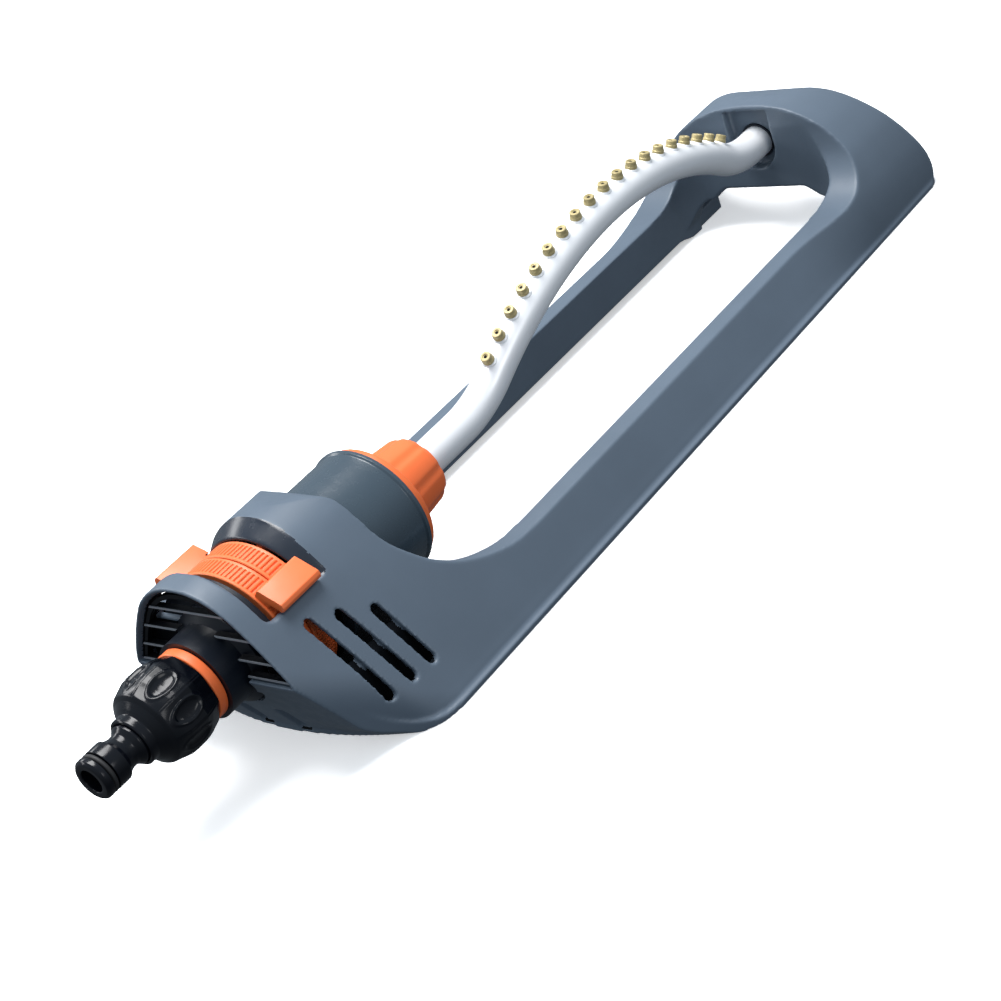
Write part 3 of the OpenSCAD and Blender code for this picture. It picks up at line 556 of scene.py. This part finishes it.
# screens inside the hood, behind the vents, and a low sheet across the hood's underside that stands in for the shade
# there; their faces are painted near-black further down as painted shade
screen = [(44, 3.5), (46.4, 3.5), (46.4, 30.2), (44, 34.2)]
screens = join(temp(*prism(screen, 73, 136.5, along)), temp(*prism([(-y, z) for y, z in reversed(screen)], 73, 136.5, along)), block(82, 150, -45, 45, 4, 5.6))
body = boolean(body, boolean(screens, keep[2], "INTERSECT"), "UNION")
band = densify([(HF - 3, 41.5), (HF + 1.9, 40.7), (HF + 20.3, 4), (HF + 20.5, 0.8), (HF + 10, 0.8)], 1.2)
for sgn in (1, -1):
    q = temp(*prism([(sgn * y, z) for y, z in rounded([(7, 1.4), (13.3, 1.4), (13.3, 17), (7, 17)], [0.8, 0.8, 1.8, 1.8], 4)], 50, 92, along))
    q = boolean(q, temp(*prism(band, -60, 60, bowed, 40)), "INTERSECT")
    body = boolean(body, q, "DIFFERENCE")
body = boolean(body, temp(*cyl(SA - 5, SA + 6, 12)), "DIFFERENCE")
body = boolean(body, block(SA - 5, SA + 6, -12, 12, AXIS_Z, 61.8), "DIFFERENCE")
body = boolean(body, temp(*cyl(SA - 5, SA + 12, 8.5)), "DIFFERENCE")

# an even skin over the whole moulding gives every edge its small moulded radius
md = body.modifiers.new("skin", "REMESH")
md.mode, md.voxel_size, md.adaptivity = "VOXEL", 0.00062, 0.0
body = bake_modifiers(body)


def blend_weight(p):
    """How far the faces are blended: most round the saddle, the rails' shoulders and the foot of the arch."""
    s, y, z = p.x * 1000 + HALF_L, abs(p.y) * 1000, p.z * 1000
    w = 0.0
    if 112 < s < 215 and z > 12 and y > 30:
        w = ease(s, 112, 132) * (1 - ease(s, 190, 215))
    if s > 385 and z > 15:
        w = max(w, ease(s, 385, 420) * (1 - ease(s, 496, 506)) * ease(z, 15, 20) * (0.55 if y < 20 else 1.0))
    if 200 < s < 430 and z > 18 and y > 50:
        w = max(w, 0.8)
    return w


def smooth(ob, factor, times, group=None):
    md = ob.modifiers.new("smooth", "SMOOTH")
    md.factor, md.iterations = factor, times
    if group:
        md.vertex_group = group
    return bake_modifiers(ob)


body = smooth(body, 0.5, 3)
vg = body.vertex_groups.new(name="blend")
for v in body.data.vertices:
    w = blend_weight(v.co)
    if w > 0.02:
        vg.add([v.index], w, "REPLACE")
body = smooth(body, 0.5, 9, "blend")
body.vertex_groups.clear()
md = body.modifiers.new("thin", "DECIMATE")
md.ratio = min(1.0, 95000 / max(1, len(body.data.polygons)))
body = bake_modifiers(body)
for v in body.data.vertices:
    v.co.x, v.co.y, v.co.z = min(v.co.x, 0.2559), max(-0.0665, min(0.0665, v.co.y)), max(0.0, v.co.z)
body.name = "moulded_frame"
dress(body, M["slate"], "base", "slate_plastic", 60, ["frame"])
body.data.materials.append(M["inside"])
body.data.materials.append(M["slate_cone_painted_shade"])
# painted shade: faces inside the hood, on the screens, on the plate behind the grille, on the low sheet and back-facing
# faces at the front of the hood get the near-black inside colour
for f in body.data.polygons:
    c, n = f.center, f.normal
    s, y, z = c.x * 1000 + HALF_L, c.y * 1000, c.z * 1000
    d = Vector((0, y, z - 30))
    within = n.dot(d.normalized()) < -0.25 if d.length > 1e-6 else False
    front = s < 84 + 0.0033 * y * y and (n.x < -0.3 or (n.z > 0.3 and s < 74)) and z < 42  # the apron's outer face
    hollow = 64 < s < 127 and within and not (z > 58 and 72 < s < 110) and not front
    screen_face = 74 < s < 136 and 40 < abs(y) < 46.85 - max(0.0, z - 30.2) * 0.6 and z < 35 and not front
    plate_face = 68.5 < s < 72 and n.x < -0.97 and z < 60 and abs(y) < 44
    shade_tray = 80 < s < 134 and abs(y) < 44 and z < 8 and n.z > 0.5
    if hollow or screen_face or plate_face or shade_tray or (66 < s < 100 and n.x > 0.5 and z < 42):
        f.material_index = 1
    # painted shade: the coned lip's front band behind the mouth gets the dark gloss slate
    rim = 31.2 + (s - 98.7) * 0.55
    if 98 < s < 107.6 and z > 58 and (y * y + (z - AXIS_Z) ** 2) ** 0.5 < rim + 1.3 and n.x < -0.15:
        f.material_index = 2

# louvres in the front opening: blades and rim of the slate moulding drawn near-black as painted shade, with pale front
# edge strips as a painted highlight
def opening(k, s0, s1):
    row = [(p.y * 1000, p.z * 1000) for p in frame_row(HF + 3, k)]
    return temp(*prism(row, s0, s1, along))


blades = []
for z in (42.4, 49.8, 59.2, 68.7):
    for lo, hi, t, kind in ((HF + 1.9, HF + 4.6, 0.5, 0), (HF + 1.5, HF + 2.0, 0.36, 1)):
        b = boolean(block(lo, hi, -60, 60, z - t, z + t), opening(0.949, lo - 1, hi + 1), "INTERSECT")
        b = boolean(b, temp(*cyl(lo - 1, hi + 1, 18.25)), "DIFFERENCE")
        blades.append((b, kind))
rim = boolean(block(HF + 2.2, HF + 4.6, -60, 60, 41.9, 84), opening(0.949, HF + 1, HF + 6), "INTERSECT")
rim = boolean(rim, opening(0.925, HF, HF + 8), "DIFFERENCE")
rim = boolean(rim, temp(*cyl(HF, HF + 6, 18.25)), "DIFFERENCE")
dark_part = join(rim, *[b for b, k in blades if k == 0])
dark_part.name = "grille_louvres"
dress(dark_part, M["louvre_shade_black"], "base", "slate_plastic", 34, ["end_grille"])
pale = join(*[b for b, k in blades if k == 1])
pale.name = "grille_edges"
dress(pale, M["louvre_edge_highlight"], "base", "slate_plastic", 34)

# ---------------------------------------------------------------- hose connector
tail = rounded([(0, 4.8), (0, 7.3), (1.0, 8.3), (3.1, 8.4), (3.1, 6.5), (5.7, 6.5), (5.7, 8.4), (11.3, 8.4), (12.8, 7.2), (15, 6.6), (17.4, 6.7), (19.3, 8.3), (31.3, 8.3),
                (31.3, 12.6), (33.6, 12.6), (33.6, 4.8)], [0.5, 0.9, 0.8, 0.35, 0.2, 0.2, 0.35, 0.8, 1.2, 1.5, 1.5, 0.6, 0.2, 0.3, 0.3, 0.2], 4)
mesh_object("connector_tail", *revolve(tail, 96), M["black"], "base", "black_plastic", 40, ["hose_tail"])


def nut_shape(s, r, a):
    """Eight flat panels, each with an oval dish inside a raised rim."""
    if r < 14.4 or s < 26:
        return r
    d = ((a + PI / 6) * 8 / (2 * PI) + 0.5) % 1 - 0.5  # place across the panel
    t = min(1.0, max(0.0, (s - 26.5) / 6))
    flat = math.cos(PI / 8) / math.cos(d * 2 * PI / 8)
    r *= 1 - 0.85 * t * (1 - flat)
    r -= 0.35 * t * max(0.0, 1 - abs(abs(d) - 0.5) / 0.035)  # seam between panels
    u, v = (s - 37.0) / 5.8, d * 2 * PI / 8 * 17.0 / 3.3
    q = u * u + v * v
    if q < 1.0:
        r -= 0.95 * (1 - q) ** 0.5 * min(1.0, (1 - q) * 4)
    elif q < 1.8:
        r += 0.34 * math.sin(PI * (q - 1) / 0.8)
    return r


nut_out = rounded([(20.4, 9.4), (20.9, 9.9), (24, 9.9), (25, 11.3), (27, 13.6), (28, 15.5), (31.7, 16.9), (34, 17.7), (37, 17.95), (42, 17.95), (45, 17.4), (50, 15.8)],
                  [0.3, 0.4, 0.5, 0.6, 0.8, 1.2, 2, 2, 2, 2, 2, 0.5], 3, closed=False)
dense = []
for p, q in zip(nut_out, nut_out[1:]):
    k = max(1, int(abs(q[0] - p[0]) / 0.5))
    dense += [(p[0] + (q[0] - p[0]) * i / k, p[1] + (q[1] - p[1]) * i / k) for i in range(k)]
dense.append(nut_out[-1])
mesh_object("connector_nut", *revolve(dense + [(50, 13.55), (31.1, 13.55), (30.9, 8.7), (20.4, 8.7)], 384, shape=nut_shape), M["black"], "nut", "black_plastic", 40, ["union_nut"])
ring = rounded([(50.4, 12.35), (50.4, 15.0), (50.9, 15.3), (54.2, 15.3), (54.6, 14.9), (54.6, 12.35)], 0.3, 3)
mesh_object("inlet_band", *revolve(ring, 128), M["orange"], "base", "orange_plastic", 40, ["inlet_ring"])

# ---------------------------------------------------------------- range rings
RIBS = 96


def rib_shape(lo, hi, rad=30.4):
    def f(s, r, a):
        if r < rad - 0.6:
            return r
        if lo < s < hi:
            w = abs(((a * RIBS / (2 * PI)) % 1) - 0.5) * 2  # 0 in a groove
            e = min(1.0, (s - lo) / 0.3, (hi - s) / 0.3)
            return r - 0.62 * e * max(0.0, 1 - (w / 0.52) ** 3)
        return r
    return f


def ring_piece(name, a, b, ri, body, tab, cuts, lug_s, node, extra=None):
    prof = [(a, ri), (a, 30.1), (a + 0.3, 30.4), (a + 1.2, 30.4)]
    k = 8
    prof += [(a + 1.3 + (b - a - 2.6) * i / k, 30.38) for i in range(k + 1)]
    prof += [(a + 1.65, 30.38), (b - 1.65, 30.38)]
    prof = prof[:4] + sorted(set(prof[4:])) + [(b - 1.2, 30.4), (b - 0.3, 30.4), (b, 30.1), (b, ri)]
    o = temp(*revolve(prof, RIBS * 8, shape=rib_shape(a + 1.3, b - 1.3)))
    o.name = name
    dress(o, M["orange"], body, "orange_plastic", 34, [node])
    side, quad, rr = tab
    q = rounded(quad, rr, 5)
    t = temp(*prism([(side * y, z) for y, z in q], 79, 100, lambda u, v, w: on_axis(w, u, v)))
    for s0, s1, r in cuts:
        t = boolean(t, temp(*cyl(s0, s1, r, n=192)), "DIFFERENCE")
    t = bevel(t, 0.7, 3, 40)
    t.name = name + "_tab"
    dress(t, M["orange"], body, "orange_plastic", 34)
    if extra:
        e = temp(*revolve(extra, 128))
        e.name = name + "_sleeve"
        dress(e, M["orange"], body, "orange_plastic", 34)
    lo, hi, ang = lug_s
    w = [math.radians(ang + d) for d in (-3, -1.5, 0, 1.5, 3)]
    arc = [(-hi * math.sin(x), hi * math.cos(x)) for x in w] + [(-lo * math.sin(x), lo * math.cos(x)) for x in reversed(w)]
    g = temp(*prism(arc, b - 0.5, 102, lambda u, v, ww: on_axis(ww, u, v)))
    g = bevel(g, 0.15, 1, 40)
    g.name = name + "_stop"
    dress(g, M["orange"], body, "orange_plastic", 34)


ring_piece("range_ring_front", 78.2, 87.8, 26.48, "front_ring",
           (-1, [(20.4, 21.5), (23.5, 25.2), (33.1, 19.9), (33.6, 18.3), (33, 16.9), (31.4, 16.5), (30.2, 17.6), (26.6, 19.4), (24.6, 16.4)], [0.4, 1.2, 0.9, 0.8, 0.7, 0.7, 0.8, 1.6, 0.3]),
           [(78, 88, 29.4), (87.8, 101, 30.85), (98.2, 101, 32.5)], (26.6, 27.9, 95), "front_range_ring",
           [(87.7, 26.48), (87.7, 28.0), (98.3, 28.0), (98.3, 26.48)])
ring_piece("range_ring_rear", 88.4, 98.0, 28.08, "rear_ring",
           (1, [(21.4, 20.4), (31.4, 24.5), (33, 23), (33.9, 19.4), (32.6, 19.0), (31.0, 21.2), (24.6, 18.8), (24.6, 15.2)], [0.4, 1.2, 1.0, 0.5, 0.5, 0.6, 1.2, 0.3]),
           [(88, 101, 29.4), (78, 88.4, 30.85), (98, 101, 32.5)], (28.2, 29.1, -95), "rear_range_ring")

# ---------------------------------------------------------------- drum, flange and collar
drum = rounded([(108.5, 25.2), (108.5, 30.2), (112, 30.2), (113, 27.6), (157.8, 27.6), (158.6, 28.3), (160.2, 28.3), (160.2, 25.2)], [0.2, 0.4, 0.5, 0.8, 0.7, 0.3, 0.3, 0.1], 4)
dd = []
for p, q in zip(drum, drum[1:]):
    k = max(1, int(abs(q[0] - p[0]) / 3))
    dd += [(p[0] + (q[0] - p[0]) * i / k, p[1] + (q[1] - p[1]) * i / k) for i in range(k)]
mesh_object("motor_drum", *revolve(dd + [drum[-1]], 160, leaning), M["drum"], "rocker", "dark_plastic", 34, ["drum_shell"])
flange = rounded([(154.6, 22.9), (154.6, 25.1), (160.8, 25.1), (160.8, 26.2), (161.2, 26.5), (163.6, 26.5), (164.2, 25.9), (164.2, 12.6), (178, 12.6), (178, 7.62), (161.8, 7.62), (161.8, 22.9)],
                 [0.2, 0.2, 0.1, 0.3, 0.3, 0.5, 0.5, 0.6, 0.3, 0.2, 0.2, 0.3], 3)
mesh_object("flange_disc", *revolve(flange, 160, leaning), M["orange"], "rocker", "orange_plastic", 34, ["output_flange"])


def collar_shape(s, r, a):
    if r < 13 or s < 166:
        return r
    t = min(1.0, max(0.0, (s - 166.5) / 4))
    c = math.cos(4 * (a - PI / 8) * 2)
    return r - 0.55 * t * max(0.0, c) ** 2


collar = rounded([(164.6, 12.9), (164.6, 17), (165.4, 17.6), (168, 17.3), (186.5, 15.4), (188.6, 14.6), (189.5, 13.2), (189.5, 7.62), (181.2, 7.62), (181.2, 10.4), (178.6, 10.4), (178.6, 12.9)],
                 [0.2, 0.4, 0.5, 0.6, 2, 1.2, 0.8, 0.5, 0.2, 0.2, 0.2, 0.2], 4)
cc = []
for p, q in zip(collar, collar[1:]):
    k = max(1, int(abs(q[0] - p[0]) / 1.2))
    cc += [(p[0] + (q[0] - p[0]) * i / k, p[1] + (q[1] - p[1]) * i / k) for i in range(k)]
mesh_object("tube_collar_nut", *revolve(cc + [collar[-1]], 256, leaning, collar_shape), M["orange"], "rocker", "orange_plastic", 34, ["tube_collar"])

# ---------------------------------------------------------------- spray tube and nozzles
ARC_S, ARC_TOP, ARC_R, BEND_R = 338.4, 35.9, 170.5, 50.0
ARC_DROP = ARC_TOP - ARC_R
HALF = math.acos((ARC_R - ARC_TOP + BEND_R) / (ARC_R + BEND_R))
OFF = (ARC_R + BEND_R) * math.sin(HALF)
route = [(166 + (ARC_S - OFF - 166) * i / 14, 0.0, 0.0) for i in range(15)]  # station, height, slope
route += [(ARC_S - OFF + BEND_R * math.sin(w), BEND_R - BEND_R * math.cos(w), w) for w in [HALF * i / 12 for i in range(1, 13)]]
route += [(ARC_S + ARC_R * math.sin(w), ARC_DROP + ARC_R * math.cos(w), -w) for w in [-HALF + 2 * HALF * i / 72 for i in range(1, 73)]]
route += [(ARC_S + OFF - BEND_R * math.sin(w), BEND_R - BEND_R * math.cos(w), -w) for w in [HALF - HALF * i / 12 for i in range(1, 13)]]
route += [(ARC_S + OFF + (486 - ARC_S - OFF) * i / 10, 0.0, 0.0) for i in range(1, 11)]


def sweep(radius, pts, n=64):
    vs = []
    for s, h, sl in pts:
        for k in range(n):
            a = 2 * PI * k / n
            y, up = radius * math.sin(a), radius * math.cos(a)
            vs.append(leaning(s - up * math.sin(sl), y, h + up * math.cos(sl)))
    return vs


n = 64
outer, innr = sweep(7.56, route, n), sweep(6.44, route, n)
m_ = len(route)
fs = []
for i in range(m_ - 1):
    for k in range(n):
        k2 = (k + 1) % n
        fs.append((i * n + k, i * n + k2, (i + 1) * n + k2, (i + 1) * n + k))
        o = m_ * n
        fs.append((o + i * n + k, o + (i + 1) * n + k, o + (i + 1) * n + k2, o + i * n + k2))
for k in range(n):
    k2, o, e = (k + 1) % n, m_ * n, (m_ - 1) * n
    fs.append((k, o + k, o + k2, k2))
    fs.append((e + k, e + k2, o + e + k2, o + e + k))
mesh_object("bent_tube", outer + innr, fs, M["tube"], "rocker", "tube_aluminium", 34, ["spray_tube"])

noz = rounded([(0.0, -2.0), (1.6, -2.0), (1.6, 0.05), (2.68, 0.05), (2.68, 1.35), (2.4, 1.6), (2.4, 3.3), (2.1, 3.58), (1.25, 3.58), (1.05, 3.2), (0.6, 3.15)],
              [0, 0.1, 0.05, 0.2, 0.15, 0.12, 0.25, 0.2, 0.12, 0.1, 0.1], 3, closed=False)
pad = rounded([(1.9, -0.9), (3.5, -0.9), (3.35, 0.1), (2.9, 0.42), (1.9, 0.42)], [0, 0, 0.25, 0.2, 0], 3, closed=False)
STEP = math.radians(3.55)
NZ = 40


def crown(k, r, z, a):
    """Point at radius r, height z over the tube's crown, angle a, of nozzle k."""
    w = (k - 9) * STEP
    u, v, t = r * math.cos(a), r * math.sin(a), ARC_R + 7.6 + z
    return leaning(ARC_S + t * math.sin(w) + u * math.cos(w), v, ARC_DROP + t * math.cos(w) - u * math.sin(w))


def turned_set(name, prof, mat, slot, stands_for=(), smooth=34, seat=False):
    vs, fs = [], []
    for k in range(19):
        base = len(vs)
        for j in range(NZ):
            a = 2 * PI * j / NZ
            for r, z in prof:
                zz = z
                if seat:  # the pad follows the tube's round back
                    v = r * math.sin(a)
                    zz = z - (7.6 - math.sqrt(7.6 ** 2 - v * v)) * 0.8
                vs.append(crown(k, r, zz, a))
        p = len(prof)
        for j in range(NZ):
            j2 = (j + 1) % NZ
            for i in range(p - 1):
                fs.append((base + j * p + i, base + j2 * p + i, base + j2 * p + i + 1, base + j * p + i + 1))
        if not seat:
            fs.append(tuple(base + j * p + p - 1 for j in range(NZ)))
    me = bpy.data.meshes.new(name)
    me.from_pydata([tuple(v) for v in vs], [], fs)
    bm = bmesh.new()
    bm.from_mesh(me)
    bmesh.ops.remove_doubles(bm, verts=bm.verts, dist=0.000002)
    bm.to_mesh(me)
    bm.free()
    ob = bpy.data.objects.new(name, me)
    scene.collection.objects.link(ob)
    return dress(ob, mat, "rocker", slot, smooth, stands_for)


turned_set("nozzle_set", noz, M["brass"], "nozzle_brass", ["spray_nozzles"])
turned_set("nozzle_pads", pad + [(1.9, -0.9)], M["tube"], "tube_aluminium", seat=True)
# painted shade: a near-black disc over each nozzle's orifice stands in for the dark bore
turned_set("nozzle_bore_shade_discs", [(0.0, 3.2), (0.75, 3.2)], M["bore_shade"], "nozzle_brass")

# ---------------------------------------------------------------- carried-over CAD nodes
LOOK = {
    "end_grille": "louvre_shade_black", "rear_housing": "slate_dark", "drum_back_plate": "slate_dark", "ring_gear": "white", "inlet_filter": "white", "housing_screws": "steel",
    "far_bush": "slate_dark", "tail_o_ring": "rubber", "tail_washer": "rubber", "drum_seal": "rubber", "back_plate_screws": "steel", "rim_gasket": "seal_pale", "collar_o_ring": "rubber",
    "jet_plate": "white", "gear_pins": "steel", "bearing_spider": "white", "end_plug": "orange", "plug_o_ring": "rubber", "planet_gear": "white", "middle_gear": "white",
    "turbine_pinion": "white", "turbine_wheel": "orange", "turbine_shaft": "steel", "trip_lever": "orange", "trip_shaft": "steel", "reversing_flap": "white",
}
for name, look in LOOK.items():
    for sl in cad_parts[name].material_slots:
        sl.material = M[look]

# ---------------------------------------------------------------- floor and light
bm = bmesh.new()
bmesh.ops.create_grid(bm, x_segments=4, y_segments=4, size=6.0)
me = bpy.data.meshes.new("floor")
bm.to_mesh(me)
bm.free()
floor = bpy.data.objects.new("floor", me)
scene.collection.objects.link(floor)
mat, nt, b = node_mat("floor_pale")
fn = noise_node(nt, 3.0, 2.0)
mx = nt.nodes.new("ShaderNodeMix")
mx.data_type = "RGBA"
mx.inputs["A"].default_value, mx.inputs["B"].default_value = (0.93, 0.93, 0.93, 1), (0.95, 0.95, 0.95, 1)
nt.links.new(fn.outputs["Fac"], mx.inputs["Factor"])
nt.links.new(mx.outputs["Result"], b.inputs["Base Color"])
b.inputs["Roughness"].default_value = 0.9
b.inputs["Specular IOR Level"].default_value = 0.1
b.inputs["Emission Color"].default_value = (1, 1, 1, 1)
b.inputs["Emission Strength"].default_value = 0.45
me.materials.append(mat)
floor.visible_diffuse = False
floor.visible_glossy = False

world = bpy.data.worlds.new("world")
scene.world = world
world.use_nodes = True
nt = world.node_tree
bg = nt.nodes["Background"]
tc = nt.nodes.new("ShaderNodeTexCoord")
sep = nt.nodes.new("ShaderNodeSeparateXYZ")
nt.links.new(tc.outputs["Generated"], sep.inputs["Vector"])
nt.links.new(ramp(nt, sep.outputs["Z"], 0.12, 0.62, -0.6, 0.6), bg.inputs["Strength"])
bg.inputs["Color"].default_value = (0.78, 0.89, 1.0, 1)


def area(name, place, target, size, power, colour=(1, 1, 1)):
    li = bpy.data.lights.new(name, "AREA")
    li.shape, li.size, li.size_y, li.energy, li.color = "RECTANGLE", size[0], size[1], power, colour
    ob = bpy.data.objects.new(name, li)
    scene.collection.objects.link(ob)
    ob.location = place
    ob.rotation_mode = "QUATERNION"
    ob.rotation_quaternion = (Vector(target) - Vector(place)).to_track_quat("-Z", "Y")
    return ob


area("key_top", (0.08, 0.30, 1.6), (-0.06, 0, 0), (1.0, 0.9), 40)
area("strip_left", (-0.35, 1.3, 0.75), (0, 0, 0.03), (1.6, 0.25), 7)
area("fill_front", (-0.2, -1.6, 0.7), (0, 0, 0.03), (0.8, 0.5), 4)
scene.view_settings.view_transform = "Standard"
